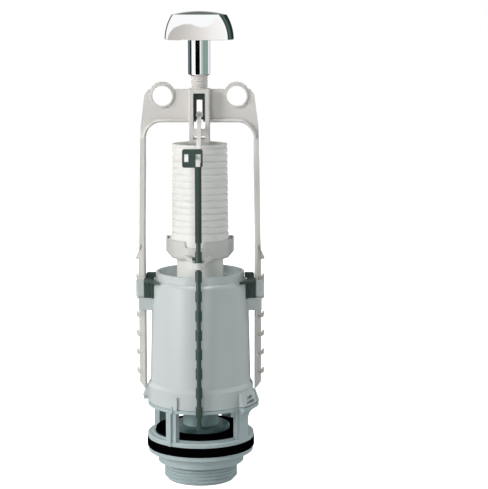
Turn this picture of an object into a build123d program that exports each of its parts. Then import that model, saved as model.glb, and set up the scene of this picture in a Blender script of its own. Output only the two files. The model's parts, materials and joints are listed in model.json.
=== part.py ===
from build123d import *
import math
import os

# Flush valve for a toilet cistern. Millimetres, +Z up, front at -Y,
# and the origin is the centre of the threaded tail's lower end.

# Clearances
press_gap = 0.03
slide_gap = 0.25
seat_gap = 0.1

# Threaded tail and base moulding
thread_radius = 29.8
thread_depth = 1.5
thread_pitch = 3.0
thread_land = 0.9
tail_lead = 2.0
tail_length = 15.3
tail_wall = 3.9
bore_length = 12.0
guide_step = 0.8
spigot_step = 5.3
spigot_height = 8.9
lower_flange_height = 3.6
groove_depth = 5.2
base_seal_reach = 1.1
base_seal_height = 7.8
upper_flange_reach = 0.7
upper_flange_height = 3.6
flange_ledge = 4.2
seat_rim_width = 2.1
seat_rim_height = 1.0
well_depth = 2.0
seat_step = 2.2
seat_lip_width = 2.2
post_count = 4
post_azimuth = 57.0
post_width = 9.6
post_depth = 4.8
post_height = 23.8
fin_width = 2.4
fin_depth = 2.2
lip_reach = 0.3
lip_height = 2.7
neck_wall = 2.2
neck_height = 9.0

# Wide flared posts of the base, and the bell's latch blocks over them
wide_arc = 22.0
flare_arc = 16.5
flare_foot_reach = 0.5
flare_reach = 5.8
flare_height = 9.0
latch_lead = 10.0
latch_arc = 33.0
latch_reach = 4.5
latch_slant = 1.7
latch_height = 11.4
wing_arc = 4.5
wing_reach_out = 6.2
tab_azimuth = -28.0
tab_arc = 4.6
tab_reach = 2.2
tab_height = 10.4
index_arc = 2.4

# Bell
bell_wall = 2.3
band_radius = 42.8
band_height = 13.5
band_rise = 3.2
body_step = 2.0
body_taper = 2.0
body_height = 80.5
shoulder_width = 3.1
shoulder_height = 2.9
rim_height = 6.1
deck_depth = 6.3
bush_wall = 2.0
bush_flange = 1.6
vent_radius = 1.5
twist_range = 15.0
nib_arc = 10.0
nib_height = 2.4
nib_reach = 1.3

# Lugs on the bell and the wedge clips in them
lug_over_body = 2.7
lug_height = 24.6
sleeve_height = 14.6
slot_height = 1.8
slot_depth = 1.4
lug_front = 9.0
lug_wall = 3.7
sleeve_reach = 2.2
clip_over_lug = 1.2
clip_flange = 1.2
clip_plate_rise = 3.8
clip_plate_round = 1.8
leaf_thickness = 2.4
leaf_angle = 36.0
plate_thickness = 2.4
dimple_radius = 0.9

# Frame
leg_gap = 1.2
leg_width = 5.6
leg_depth = 9.0
leg_above_lug = 126.7
rack_pitch = 15.54
rack_width = 2.8
rack_recess = 1.2
tooth_count = 6
tooth_reach = 2.4
tooth_depth = 5.0
tooth_over_lug = 1.6
leg_tail = 14.2
leg_bevel = 1.0
frame_top = 26.5
frame_plate = 3.0
arch_radius = 13.0
arch_rib = 2.6
top_inset = 9.1
shoulder_inset = 5.7
ear_inset = 10.8
ear_drop = 5.6
ear_radius = 10.3
ear_lift = 1.0
ear_hole_radius = 7.9
ear_rim = 1.3
ear_raise = 1.6
housing_wall = 3.75
housing_front = 11.0
housing_back = 8.0
housing_drop = 15.6
housing_bar = 2.6
crosspiece_drop = 4.6
crosspiece_height = 5.9

# Stem, sleeve, knob and shaft
stem_radius = 6.95
stem_wall = 1.65
stem_length = 30.0
stem_thread_depth = 0.7
stem_pitch = 2.0
sleeve_wall = 1.3
sleeve_turn = 6.6
sleeve_lift = 10.35
sleeve_length = 37.0
sleeve_chamfer = 1.2
knob_lift_off = 29.15
knob_radius = 27.55
knob_draw = 5.65
knob_side_height = 19.7
knob_dome = 2.8
knob_wall = 1.3
core_plate = 2.6
hub_wall = 3.2
hub_gap = 0.6
shaft_radius = 3.0
tongue_radius = 1.7

# Yoke, link and rod
yoke_width = 8.9
yoke_play = 0.2
yoke_depth = 4.8
yoke_height = 21.3
yoke_top_drop = 3.4
slot_drop = 5.5
foot_reach = 0.6
foot_height = 1.8
pin_radius = 0.9
pin_head_radius = 1.9
head_radius = 2.1
head_play = 0.15
head_pit = 0.7
head_flange = 0.7
link_width = 3.4
link_thickness = 2.2
link_shift = 0.1
link_play = 0.5
rod_gap = 1.5
rod_width = 5.1
rod_web = 1.7
bead_radius = 2.7
bead_length = 8.3
notch_radius = 1.9
nub_reach = 2.2
nub_over_ring = 1.9
nub_height = 2.2
bead_count = 9
flag_left = 12.3
flag_rim = 1.55
flag_height = 14.2
flag_thickness = 2.6
flag_drop = 37.7
notch_length = 7.0
foot_drop = 9.8

# Tubes, collar and valve
seal_section = 1.3
tube_wall = 1.4
tube_taper = 0.9
pull_travel = 14.0
headroom_gap = 3.0
rib_pitch = 5.2
rib_depth = 0.8
rib_groove = 1.7
collar_over_deck = 18.15
collar_height = 14.85
collar_wall = 1.2
collar_floor = 1.8
notch_left = 10.8
notch_right = 2.6
notch_depth = 4.6
wing_reach = 2.9
wing_width = 8.0
wing_rise = 1.9
ring_wall = 1.95
ring_play = 0.2
ring_height = 5.1
ring_over_notch = 1.05
arm_width = 2.6
arm_height = 3.0
arm_lift = 1.2
ring_drop = 2.65
lower_tube_radius = 18.8
lower_tube_wall = 1.8
lower_tube_above = 18.0
lower_tube_below = 40.0
valve_gap = 2.6
valve_tube_wall = 1.8
float_gap = 2.4
float_wall = 1.6
float_height = 29.0
seal_inset = 0.6
seal_thickness = 2.5
seal_lip_width = 2.0
seal_lip_height = 0.6
carrier_width = 9.3
carrier_height = 3.3
retainer_height = 3.2
retainer_fin_height = 20.0
retainer_fin_width = 1.8

# Radii and widths that follow from those above
thread_root = thread_radius - thread_depth
bore_radius = thread_root - tail_wall
guide_radius = bore_radius + guide_step
seat_inner = guide_radius + seat_step
seat_lip_radius = seat_inner + seat_lip_width
spigot_radius = thread_radius + spigot_step
lower_flange_radius = band_radius
groove_radius = lower_flange_radius - groove_depth
base_seal_radius = lower_flange_radius + base_seal_reach
upper_flange_radius = lower_flange_radius + upper_flange_reach
well_radius = upper_flange_radius - flange_ledge - seat_rim_width
seal_radius = well_radius - seal_inset
lip_radius = band_radius + lip_reach
flare_radius = band_radius + flare_reach
neck_radius = band_radius - bell_wall - slide_gap
body_foot_radius = band_radius - body_step
body_top_radius = body_foot_radius - body_taper
rim_radius = body_top_radius - shoulder_width
float_radius = body_top_radius - bell_wall - float_gap
leg_inner = band_radius + leg_gap
leg_outer = leg_inner + leg_width
top_half_width = leg_outer - top_inset
shoulder_half_width = leg_outer - shoulder_inset
ear_offset = top_half_width - ear_inset
window_width = yoke_width + 2 * yoke_play
housing_width = window_width + 2 * housing_wall
stem_bore = stem_radius - stem_wall
sleeve_corner_radius = (stem_radius + slide_gap + sleeve_wall) / math.cos(math.radians(22.5))
knob_lip_radius = knob_radius - knob_draw
hub_radius = sleeve_corner_radius + hub_gap + hub_wall
slot_width = 2 * (head_radius + head_play)
foot_gap = slot_width - 2 * foot_reach
rod_offset = band_radius + rod_gap + bead_radius
ring_bore = bead_radius + ring_play
ring_radius = ring_bore + ring_wall
flag_right = link_shift + (link_width + link_play) / 2 + flag_rim
tube_bore = lower_tube_radius + seal_section
tube_top_radius = tube_bore + tube_wall + rib_depth
tube_radius = tube_top_radius + tube_taper
valve_tube_radius = lower_tube_radius - lower_tube_wall - valve_gap
carrier_radius = valve_tube_radius + carrier_width
deck_hole = lower_tube_radius + slide_gap + bush_wall

# Levels of the base, from the tail's lower end up
floor_z = tail_length + spigot_height
groove_z = floor_z + lower_flange_height
flange_z = groove_z + base_seal_height
flange_top = flange_z + upper_flange_height
lip_z = flange_top + post_height
lip_top = lip_z + lip_height
neck_top = lip_top + neck_height
well_z = flange_top - well_depth
seat_z = flange_top + 0.2

# Levels of the bell
band_z = lip_top + slide_gap
band_top = band_z + band_height
body_z = band_top + band_rise
body_top = body_z + body_height
neck_z = body_top + shoulder_height
rim_top = neck_z + rim_height
deck_top = rim_top - deck_depth
deck_z = deck_top - bell_wall
nib_z = lip_top + 0.3 * neck_height

# Levels of the frame
lug_top = body_top + lug_over_body
lug_z = lug_top - lug_height
sleeve_z = lug_top - sleeve_height
plate_z = lug_top + leg_above_lug
plate_top = plate_z + frame_top
housing_z = plate_z - housing_drop
housing_top = plate_top + 0.3
rack_top = lug_top + tooth_over_lug
leg_end = rack_top - (tooth_count - 1) * rack_pitch - leg_tail
barb_z = plate_z - 97.6
ear_z = plate_top - ear_drop
leg_front = leg_depth * 5 / 9
leg_back = leg_depth - leg_front
yoke_top = housing_top - yoke_top_drop
yoke_z = yoke_top - yoke_height
sleeve_bottom = housing_top + sleeve_lift
sleeve_top = sleeve_bottom + sleeve_length
knob_z = sleeve_bottom + knob_lift_off
head_z = yoke_z + foot_height + head_radius + seat_gap

# Levels of the valve
collar_z = deck_top + collar_over_deck
collar_top = collar_z + collar_height
tube_z = collar_z + collar_floor
tube_top = plate_z - pull_travel - headroom_gap
lower_tube_top = collar_z + lower_tube_above
lower_tube_z = deck_top - lower_tube_below
seal_z = seat_z + seat_gap
carrier_z = seal_z + seal_thickness
retainer_z = seal_z - retainer_height
ring_z = collar_z - ring_drop

# Levels of the rod, with a notch between two beads inside the guide ring
flag_z = head_z - flag_drop
notch_middle = ring_z + ring_height / 2 - ring_over_notch
bead_top = notch_middle + (rack_pitch + bead_length) / 2
rod_shoulder = bead_top + notch_length
rod_foot = bead_top - (bead_count - 1) * rack_pitch - bead_length - foot_drop


def ring_sector(inner, outer, start, size):
    # A piece of a flat ring in the sketch, angles in degrees from +X.
    with BuildLine() as outline:
        near = CenterArc((0, 0), inner, start, size)
        far = CenterArc((0, 0), outer, start, size)
        Line(near @ 0, far @ 0)
        Line(near @ 1, far @ 1)
    make_face(outline.edges())


def section(*points):
    # A closed outline in the sketch, as radius and height for a turned piece.
    with BuildLine() as outline:
        Polyline(*points, close=True)
    make_face(outline.edges())


post_start = post_azimuth - 90
post_inner = neck_radius - neck_wall - 0.6
post_middle = post_inner + post_depth / 2
latch_start = post_start - latch_lead
tab_start = tab_azimuth - 90

# Wide post that flares outwards below the lip, and the lip's bulge over it.
with BuildPart() as flare_column:
    with BuildSketch(Plane.XZ):
        with BuildLine():
            flare_foot = upper_flange_radius - flare_foot_reach
            Polyline(
                (flare_foot, lip_z - flare_height),
                (flare_foot, flange_top),
                (post_inner + 1, flange_top),
                (post_inner + 1, lip_z + 0.4),
                (flare_radius, lip_z + 0.4),
                (flare_radius, lip_z),
            )
            TangentArc((flare_foot, lip_z - flare_height), (flare_radius, lip_z), tangent=(0, 1))
        make_face()
    revolve(axis=Axis.Z, revolution_arc=flare_arc)

with BuildPart() as flare_post:
    add(flare_column.part, rotation=(0, 0, -flare_arc / 2))
    with BuildSketch(Plane.XY.offset(flange_top)):
        ring_sector(post_inner, post_inner + post_depth - 0.4, -wide_arc / 2, wide_arc)
    extrude(amount=post_height)
    with BuildSketch(Plane.XY.offset(lip_z)):
        ring_sector(neck_radius - 1, flare_radius, -latch_lead, latch_arc - 2)
    extrude(amount=lip_height)

with BuildPart() as seat_base:
    with BuildSketch(Plane.XZ):
        section(
            (bore_radius, 0),
            (thread_root - tail_lead * 0.4, 0),
            (thread_root, tail_lead * 0.6),
            (thread_root, tail_length),
            (spigot_radius, tail_length),
            (spigot_radius, floor_z),
            (lower_flange_radius, floor_z),
            (lower_flange_radius, groove_z),
            (groove_radius, groove_z),
            (groove_radius, flange_z),
            (upper_flange_radius, flange_z),
            (upper_flange_radius, flange_top - 0.8),
            (upper_flange_radius - 0.8, flange_top),
            (well_radius + seat_rim_width, flange_top),
            (well_radius + seat_rim_width, flange_top + seat_rim_height),
            (well_radius, flange_top + seat_rim_height),
            (well_radius, well_z),
            (seat_lip_radius, well_z),
            (seat_lip_radius - 0.6, seat_z),
            (seat_inner, seat_z),
            (seat_inner, well_z - 1),
            (guide_radius, groove_z),
            (guide_radius, bore_length),
            (bore_radius, bore_length),
        )
    revolve(axis=Axis.Z)
    thread_first = tail_lead + thread_pitch / 2
    thread_turns = int((tail_length - thread_first) // thread_pitch) + 1
    flank = (thread_pitch - thread_land) / 2 - 0.3
    with BuildSketch(Plane.XZ):
        for turn in range(thread_turns):
            middle = thread_first + turn * thread_pitch - thread_land / 2
            section(
                (thread_root - 0.5, middle - thread_land / 2 - flank),
                (thread_radius, middle - thread_land / 2),
                (thread_radius, middle + thread_land / 2),
                (thread_root - 0.5, middle + thread_land / 2 + flank),
            )
    revolve(axis=Axis.Z)
    with BuildSketch(Plane.XZ):
        section(
            (neck_radius - neck_wall, lip_z),
            (lip_radius, lip_z),
            (lip_radius, lip_top),
            (neck_radius, lip_top),
            (neck_radius, neck_top),
            (neck_radius - neck_wall, neck_top),
        )
    revolve(axis=Axis.Z)
    with BuildSketch(Plane.XY.offset(flange_top)):
        with PolarLocations(post_middle, post_count, start_angle=post_start):
            Rectangle(post_depth, post_width)
    extrude(amount=post_height)
    with BuildSketch(Plane.XY.offset(flange_z)):
        with PolarLocations(post_inner + post_depth, 2, start_angle=post_start + 90):
            Rectangle(2 * fin_depth, fin_width)
    extrude(amount=upper_flange_height + post_height)
    for half in (0, 180):
        add(flare_post.part, rotation=(0, 0, post_start + half))
    # Index nib on the lip, beside the bell's tab.
    with BuildSketch(Plane.XY.offset(lip_z)):
        ring_sector(neck_radius - 1, band_radius + tab_reach - 0.4, tab_start - 3.5, index_arc)
    extrude(amount=lip_height)
    with BuildSketch(Plane.XY.offset(lip_top)):
        ring_sector(band_radius + slide_gap, band_radius + tab_reach - 0.4, tab_start - 3.5, index_arc)
    extrude(amount=2.2)
    with BuildSketch(Plane.XY.offset(nib_z)):
        for number in range(post_count):
            ring_sector(
                neck_radius - 0.5,
                neck_radius + nib_reach,
                post_start + number * 360 / post_count,
                nib_arc,
            )
    extrude(amount=nib_height)
seat_base.part.label = "seat_base"

with BuildPart() as base_seal:
    with BuildSketch(Plane.XY.offset(groove_z)):
        Circle(base_seal_radius)
        Circle(groove_radius + press_gap, mode=Mode.SUBTRACT)
    extrude(amount=base_seal_height)
    fillet(base_seal.edges().filter_by(GeomType.CIRCLE).sort_by(SortBy.RADIUS)[-2:], 0.8)
base_seal.part.label = "base_seal"

lug_inner = body_top_radius - bell_wall / 2
lug_back = leg_back + slide_gap + lug_wall
jaw_inner = leg_inner + 1.2
jaw_outer = leg_outer + sleeve_reach
bracket_outer = leg_outer + 0.3

# Lug: a bracket below, and above it a front and a back jaw around the frame's leg.
with BuildPart() as right_lug:
    with BuildSketch(Plane.XY.offset(lug_z)):
        with Locations(((lug_inner + bracket_outer) / 2, (lug_back - lug_front) / 2)):
            Rectangle(bracket_outer - lug_inner, lug_front + lug_back)
        with Locations((leg_inner + leg_width, (leg_back - leg_front) / 2)):
            Rectangle(2 * (leg_width + slide_gap), leg_depth + 2 * slide_gap, mode=Mode.SUBTRACT)
    extrude(amount=lug_height - sleeve_height)
    fillet(right_lug.edges().filter_by(Axis.Z).group_by(Axis.X)[-1].sort_by(Axis.Y)[0], 1.2)
    jaw_back = -leg_front - slide_gap
    jaw_depth = lug_front + jaw_back
    with BuildSketch(Plane.XY.offset(sleeve_z)):
        with Locations(((jaw_inner + bracket_outer) / 2, jaw_back - (jaw_depth - slot_depth) / 2)):
            Rectangle(bracket_outer - jaw_inner, jaw_depth - slot_depth)
    extrude(amount=slot_height)
    with BuildSketch(Plane.XY.offset(sleeve_z + slot_height)):
        with Locations(((jaw_inner + jaw_outer) / 2, jaw_back - jaw_depth / 2)):
            Rectangle(jaw_outer - jaw_inner, jaw_depth)
    extrude(amount=sleeve_height - slot_height)
    with BuildSketch(Plane.XY.offset(sleeve_z)):
        with Locations(((lug_inner + jaw_outer) / 2, lug_back - lug_wall / 2)):
            Rectangle(jaw_outer - lug_inner, lug_wall)
    extrude(amount=sleeve_height)
    fillet(right_lug.edges().filter_by(Axis.Z).group_by(Axis.X)[-1].sort_by(Axis.Y)[0], 1.8)

# Latch block on the band: a slanted front with two pockets, and a wing at its far end.
with BuildPart() as latch_wing:
    with BuildSketch(Plane.XZ):
        section(
            (band_radius - 0.4, band_z),
            (band_radius + wing_reach_out, band_z + 0.4),
            (band_radius + latch_reach - latch_slant, band_z + latch_height - 1.4),
            (band_radius - 0.4, band_z + latch_height),
        )
    revolve(axis=Axis.Z, revolution_arc=wing_arc)

with BuildPart() as latch_block:
    with BuildSketch(Plane.XZ):
        section(
            (band_radius - 0.4, band_z),
            (band_radius + latch_reach, band_z + 0.4),
            (band_radius + latch_reach - latch_slant, band_z + latch_height - 2.4),
            (band_radius - 0.4, band_z + latch_height),
        )
    revolve(axis=Axis.Z, revolution_arc=latch_arc)
    with BuildSketch(Plane.XY.offset(band_z + 0.45 * latch_height)):
        ring_sector(band_radius + 1, band_radius + wing_reach_out, 0.27 * latch_arc, 0.31 * latch_arc)
    extrude(amount=0.25 * latch_height, mode=Mode.SUBTRACT)
    with BuildSketch(Plane.XY.offset(band_z + 0.15 * latch_height)):
        ring_sector(band_radius + 1, band_radius + wing_reach_out, 0.21 * latch_arc, 0.46 * latch_arc)
    extrude(amount=0.22 * latch_height, mode=Mode.SUBTRACT)
    add(latch_wing.part, rotation=(0, 0, latch_arc - wing_arc))

with BuildPart() as bell_housing:
    with BuildSketch(Plane.XZ):
        with BuildLine():
            Polyline(
                (band_radius - bell_wall, band_z),
                (band_radius, band_z),
                (band_radius, band_top),
                (body_foot_radius, body_z),
                (body_top_radius, body_top),
            )
            ThreePointArc(
                (body_top_radius, body_top),
                (rim_radius + 0.62 * (body_top_radius - rim_radius), body_top + 0.62 * shoulder_height),
                (rim_radius, neck_z),
            )
            Polyline(
                (rim_radius, neck_z),
                (rim_radius, rim_top),
                (rim_radius - bell_wall, rim_top),
                (rim_radius - bell_wall, deck_top),
                (deck_hole, deck_top),
                (deck_hole, deck_z),
                (rim_radius - bell_wall, deck_z),
                (body_foot_radius - bell_wall, body_z - 1),
                (body_foot_radius - bell_wall, neck_top + slide_gap),
                (band_radius - bell_wall, neck_top + slide_gap),
                (band_radius - bell_wall, band_z),
            )
        make_face()
    revolve(axis=Axis.Z)
    # Slots on the inside of the band, in which the neck's nibs turn and leave.
    slot_start = post_start - twist_range - 1
    with BuildSketch(Plane.XY.offset(nib_z - slide_gap)):
        for number in range(post_count):
            ring_sector(
                band_radius - bell_wall - 0.5,
                neck_radius + nib_reach + slide_gap,
                slot_start + number * 360 / post_count,
                twist_range + nib_arc + 2,
            )
    extrude(amount=nib_height + 2 * slide_gap, mode=Mode.SUBTRACT)
    with BuildSketch(Plane.XY.offset(band_z)):
        for number in range(post_count):
            ring_sector(
                band_radius - bell_wall - 0.5,
                neck_radius + nib_reach + slide_gap,
                slot_start + number * 360 / post_count,
                nib_arc + 1,
            )
    extrude(amount=nib_z - band_z, mode=Mode.SUBTRACT)
    # Small vents through the deck, the two latch blocks and the two tabs on the band.
    with BuildSketch(Plane.XY.offset(deck_top)):
        with PolarLocations(deck_hole + bush_flange + 2 * vent_radius, 4, start_angle=45):
            Circle(vent_radius)
    extrude(amount=-bell_wall, mode=Mode.SUBTRACT)
    for half in (0, 180):
        add(latch_block.part, rotation=(0, 0, latch_start + half))
    with BuildSketch(Plane.XY.offset(band_z)):
        for half in (0, 180):
            ring_sector(band_radius - 0.4, band_radius + tab_reach, tab_start + half, tab_arc)
    extrude(amount=tab_height)
    add(right_lug.part)
    mirror(right_lug.part, about=Plane.YZ)
bell_housing.part.label = "bell_housing"

with BuildPart() as deck_bush:
    with BuildSketch(Plane.XZ):
        section(
            (lower_tube_radius + slide_gap, deck_z - 1),
            (deck_hole - press_gap, deck_z - 1),
            (deck_hole - press_gap, deck_top),
            (deck_hole + bush_flange, deck_top),
            (deck_hole + bush_flange, deck_top + 1),
            (lower_tube_radius + slide_gap, deck_top + 1),
        )
    revolve(axis=Axis.Z)
deck_bush.part.label = "deck_bush"

# Frame: an outline with legs and arch, thicker along the arch and the legs.
leg_high = leg_inner - 1.0
with BuildSketch(Plane.XZ) as arch:
    with BuildLine():
        Polyline(
            (-leg_high, plate_z),
            (leg_high, plate_z),
            (leg_high, plate_z - 34),
            (leg_inner, plate_z - 90),
            (leg_inner, leg_end - 20),
            (-leg_inner, leg_end - 20),
            (-leg_inner, plate_z - 90),
            (-leg_high, plate_z - 34),
            close=True,
        )
    make_face()
    fillet(arch.vertices().group_by(Axis.Z)[-1], arch_radius)

with BuildSketch(Plane.XZ) as bridge:
    with BuildLine():
        Polyline(
            (-top_half_width, plate_top),
            (top_half_width, plate_top),
            (shoulder_half_width, plate_top - 4.8),
            (leg_outer - 2.4, plate_z - 3.3),
            (leg_outer - 1.6, plate_z - 34),
            (leg_outer - 0.7, plate_z - 90),
            (leg_outer, plate_z - 113),
            (leg_outer, leg_end + 5.7),
            (leg_inner + 1.4, leg_end),
            (-leg_inner - 1.4, leg_end),
            (-leg_outer, leg_end + 5.7),
            (-leg_outer, plate_z - 113),
            (-leg_outer + 0.7, plate_z - 90),
            (-leg_outer + 1.6, plate_z - 34),
            (-leg_outer + 2.4, plate_z - 3.3),
            (-shoulder_half_width, plate_top - 4.8),
            close=True,
        )
    make_face()
    fillet(bridge.vertices().group_by(Axis.Z)[-1], 2.5)
    add(arch.sketch, mode=Mode.SUBTRACT)

with BuildSketch(Plane.XZ) as edge:
    add(arch.sketch)
    offset(amount=arch_rib)
    add(arch.sketch, mode=Mode.SUBTRACT)
    with Locations((0, leg_end / 2 + plate_z / 2 - arch_radius)):
        Rectangle(2 * leg_outer + 10, plate_z - leg_end)
    add(bridge.sketch, mode=Mode.INTERSECT)

with BuildPart() as housing:
    with BuildSketch(Plane.XY.offset(housing_z)):
        with Locations((0, (housing_back - housing_front) / 2)):
            Rectangle(housing_width, housing_front + housing_back)
    extrude(amount=housing_top - housing_z)
    fillet(housing.edges().filter_by(Axis.Z).group_by(Axis.Y)[0], 1.2)

with BuildPart() as frame:
    extrude(edge.sketch, amount=leg_front)
    front_edges = frame.faces().sort_by(Axis.Y)[0].edges()
    inner_edges = front_edges.filter_by(
        lambda line: abs(line.center().X) < leg_inner + 0.1 and leg_end + 3 < line.center().Z < plate_z + 0.1
    )
    chamfer(inner_edges, leg_bevel)
    extrude(edge.sketch, amount=-leg_back)
    extrude(bridge.sketch, amount=frame_plate / 2, both=True)
    # Ears with a raised rim around each hole, and a small gate mark on the plate.
    with BuildSketch(Plane.XZ):
        with Locations((ear_offset, ear_z + ear_lift), (-ear_offset, ear_z + ear_lift)):
            Circle(ear_radius)
    extrude(amount=frame_plate / 2 + 0.5, both=True)
    with BuildSketch(Plane.XZ):
        with Locations((ear_offset, ear_z), (-ear_offset, ear_z)):
            Circle(ear_hole_radius + ear_rim)
    extrude(amount=frame_plate / 2 + ear_raise)
    with BuildSketch(Plane.XZ.offset(frame_plate / 2 - 0.4)):
        with Locations((-ear_offset + ear_radius, plate_z + frame_top / 2)):
            Circle(0.8)
    extrude(amount=1, mode=Mode.SUBTRACT)
    # Rack on the outer side of each leg: a set-back strip with hooked teeth, and a barb above it.
    with BuildSketch(Plane.XZ.offset(leg_front - rack_recess)):
        for side in (1, -1):
            section(
                (side * (leg_outer - rack_width), leg_end - 1),
                (side * (leg_outer - rack_width), barb_z - 3),
                (side * leg_outer, barb_z + 1),
                (side * (leg_outer + 4), barb_z + 1),
                (side * (leg_outer + 4), leg_end - 1),
            )
    extrude(amount=rack_recess + 1, mode=Mode.SUBTRACT)
    with BuildSketch(Plane.XZ) as barbs:
        for side in (1, -1):
            section(
                (side * (leg_outer - rack_width), barb_z),
                (side * (leg_outer + tooth_reach + 0.3), barb_z - 12.2),
                (side * (leg_outer + tooth_reach - 0.1), barb_z - 13.1),
                (side * (leg_outer - 1), barb_z - 13.3),
            )
    extrude(barbs.sketch, amount=leg_front - rack_recess)
    extrude(barbs.sketch, amount=-tooth_depth / 2)
    with BuildSketch(Plane.XZ) as teeth:
        for number in range(tooth_count):
            middle = rack_top - number * rack_pitch
            for side in (1, -1):
                section(
                    (side * (leg_outer - rack_width), middle - 2.0),
                    (side * (leg_outer + 0.6), middle - 2.8),
                    (side * (leg_outer + tooth_reach - 0.5), middle - 2.2),
                    (side * (leg_outer + tooth_reach), middle - 0.9),
                    (side * (leg_outer + tooth_reach), middle + 1.7),
                    (side * (leg_outer + tooth_reach - 0.8), middle + 2.5),
                    (side * (leg_outer + tooth_reach - 1.7), middle + 1.8),
                    (side * (leg_outer + tooth_reach - 1.5), middle + 0.5),
                    (side * (leg_outer - rack_width), middle + 0.7),
                )
    extrude(teeth.sketch, amount=leg_front)
    extrude(teeth.sketch, amount=-tooth_depth / 2)
    # Central housing with its window, crosspiece and bottom bar.
    add(housing.part)
    with BuildSketch(Plane.XZ):
        with Locations((0, (housing_z + housing_bar + yoke_top) / 2)):
            Rectangle(window_width, yoke_top - housing_z - housing_bar)
    extrude(amount=housing_front + 1, mode=Mode.SUBTRACT)
    with BuildSketch(Plane.XZ):
        with Locations((0, (housing_z + housing_bar + plate_z) / 2)):
            Rectangle(window_width, plate_z - housing_z - housing_bar)
    extrude(amount=-housing_back - 1, mode=Mode.SUBTRACT)
    with BuildSketch(Plane.XZ):
        with Locations((0, (plate_z + yoke_top) / 2)):
            Rectangle(window_width, yoke_top - plate_z)
    extrude(amount=-yoke_depth / 2 - slide_gap, mode=Mode.SUBTRACT)
    with BuildSketch(Plane.XZ):
        with Locations((0, (plate_z + yoke_top - slot_drop) / 2)):
            Rectangle(slot_width + 1, yoke_top - slot_drop - plate_z)
    extrude(amount=-housing_back - 1, mode=Mode.SUBTRACT)
    with BuildSketch(Plane.XZ.offset(housing_front - 3)):
        with Locations((0, plate_z - crosspiece_drop - crosspiece_height / 2)):
            Rectangle(window_width + 1, crosspiece_height)
    extrude(amount=3)
    with Locations((0, 0, housing_top)):
        Hole(stem_bore, depth=housing_top - yoke_top + 1)
    with Locations(
        Location((ear_offset, 0, ear_z), (90, 0, 0)),
        Location((-ear_offset, 0, ear_z), (90, 0, 0)),
    ):
        Hole(ear_hole_radius)
frame.part.label = "frame"

with BuildPart() as threaded_stem:
    stem_root = stem_radius - stem_thread_depth
    stem_turns = int((stem_length - 1) // stem_pitch)
    with BuildSketch(Plane.XZ):
        section(
            (stem_bore, housing_top),
            (stem_root, housing_top),
            (stem_root, housing_top + stem_length),
            (stem_bore, housing_top + stem_length),
        )
        for turn in range(stem_turns):
            middle = housing_top + 1 + (turn + 0.5) * stem_pitch
            section(
                (stem_root - 0.2, middle - 0.75),
                (stem_radius, middle - 0.2),
                (stem_radius, middle + 0.2),
                (stem_root - 0.2, middle + 0.75),
            )
    revolve(axis=Axis.Z)
threaded_stem.part.label = "threaded_stem"

with BuildPart() as clamp_sleeve:
    with BuildSketch(Plane.XY.offset(sleeve_bottom)):
        RegularPolygon(sleeve_corner_radius, 8, rotation=sleeve_turn)
    extrude(amount=sleeve_length)
    with BuildSketch(Plane.XZ):
        section(
            (0, sleeve_bottom),
            (stem_radius + slide_gap + 0.3, sleeve_bottom),
            (sleeve_corner_radius + 0.5, sleeve_bottom + sleeve_chamfer + 0.4),
            (sleeve_corner_radius + 0.5, sleeve_top),
            (0, sleeve_top),
        )
    revolve(axis=Axis.Z, mode=Mode.INTERSECT)
    with BuildSketch(Plane.XY.offset(sleeve_bottom)):
        Circle(stem_radius + slide_gap)
    extrude(amount=stem_length - sleeve_lift + 1, mode=Mode.SUBTRACT)
    with BuildSketch(Plane.XY.offset(sleeve_bottom)):
        Circle(shaft_radius + slide_gap)
    extrude(amount=sleeve_length, mode=Mode.SUBTRACT)
clamp_sleeve.part.label = "clamp_sleeve"

# Knob: a thin dome over a plastic core, which sits over the sleeve's top.
side_top = knob_z + knob_side_height
dome_top = side_top + knob_dome
side_radius = (knob_side_height**2 + knob_draw**2) / (2 * knob_draw)


def knob_side(height, inset):
    # Radius of the knob's bulged side at a height over its lower edge.
    return knob_radius - side_radius + math.sqrt((side_radius - inset) ** 2 - height**2)


inner_height = knob_side_height - knob_wall - 0.8
with BuildPart() as pull_knob:
    with BuildSketch(Plane.XZ):
        with BuildLine():
            Line((knob_radius - knob_wall, knob_z), (knob_radius, knob_z))
            ThreePointArc(
                (knob_radius, knob_z),
                (knob_side(knob_side_height / 2, 0), knob_z + knob_side_height / 2),
                (knob_lip_radius, side_top),
            )
            Line((knob_lip_radius, side_top), (knob_lip_radius - 0.6, side_top + 0.5))
            ThreePointArc(
                (knob_lip_radius - 0.6, side_top + 0.5),
                (0.5 * knob_lip_radius, side_top + 0.5 + 0.75 * (knob_dome - 0.5)),
                (1, dome_top),
            )
            Line((1, dome_top), (0, dome_top))
            Line((0, dome_top), (0, side_top - knob_wall))
            Line((0, side_top - knob_wall), (knob_side(inner_height, knob_wall) - 1, side_top - knob_wall))
            Line(
                (knob_side(inner_height, knob_wall) - 1, side_top - knob_wall),
                (knob_side(inner_height, knob_wall), knob_z + inner_height),
            )
            ThreePointArc(
                (knob_side(inner_height, knob_wall), knob_z + inner_height),
                (knob_side(inner_height / 2, knob_wall), knob_z + inner_height / 2),
                (knob_radius - knob_wall, knob_z),
            )
        make_face()
    revolve(axis=Axis.Z)
pull_knob.part.label = "pull_knob"

core_top = side_top - knob_wall - press_gap
core_radius = knob_radius - knob_wall - 0.5
with BuildPart() as knob_core:
    with BuildSketch(Plane.XZ):
        section(
            (sleeve_corner_radius + hub_gap, knob_z + 0.6),
            (core_radius, knob_z + 0.6),
            (core_radius - 0.6, knob_z + 0.6 + core_plate),
            (hub_radius, knob_z + 0.6 + core_plate),
            (hub_radius, core_top),
            (shaft_radius + press_gap, core_top),
            (shaft_radius + press_gap, sleeve_top + 0.6),
            (sleeve_corner_radius + hub_gap, sleeve_top + 0.6),
        )
    revolve(axis=Axis.Z)
knob_core.part.label = "knob_core"

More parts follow.
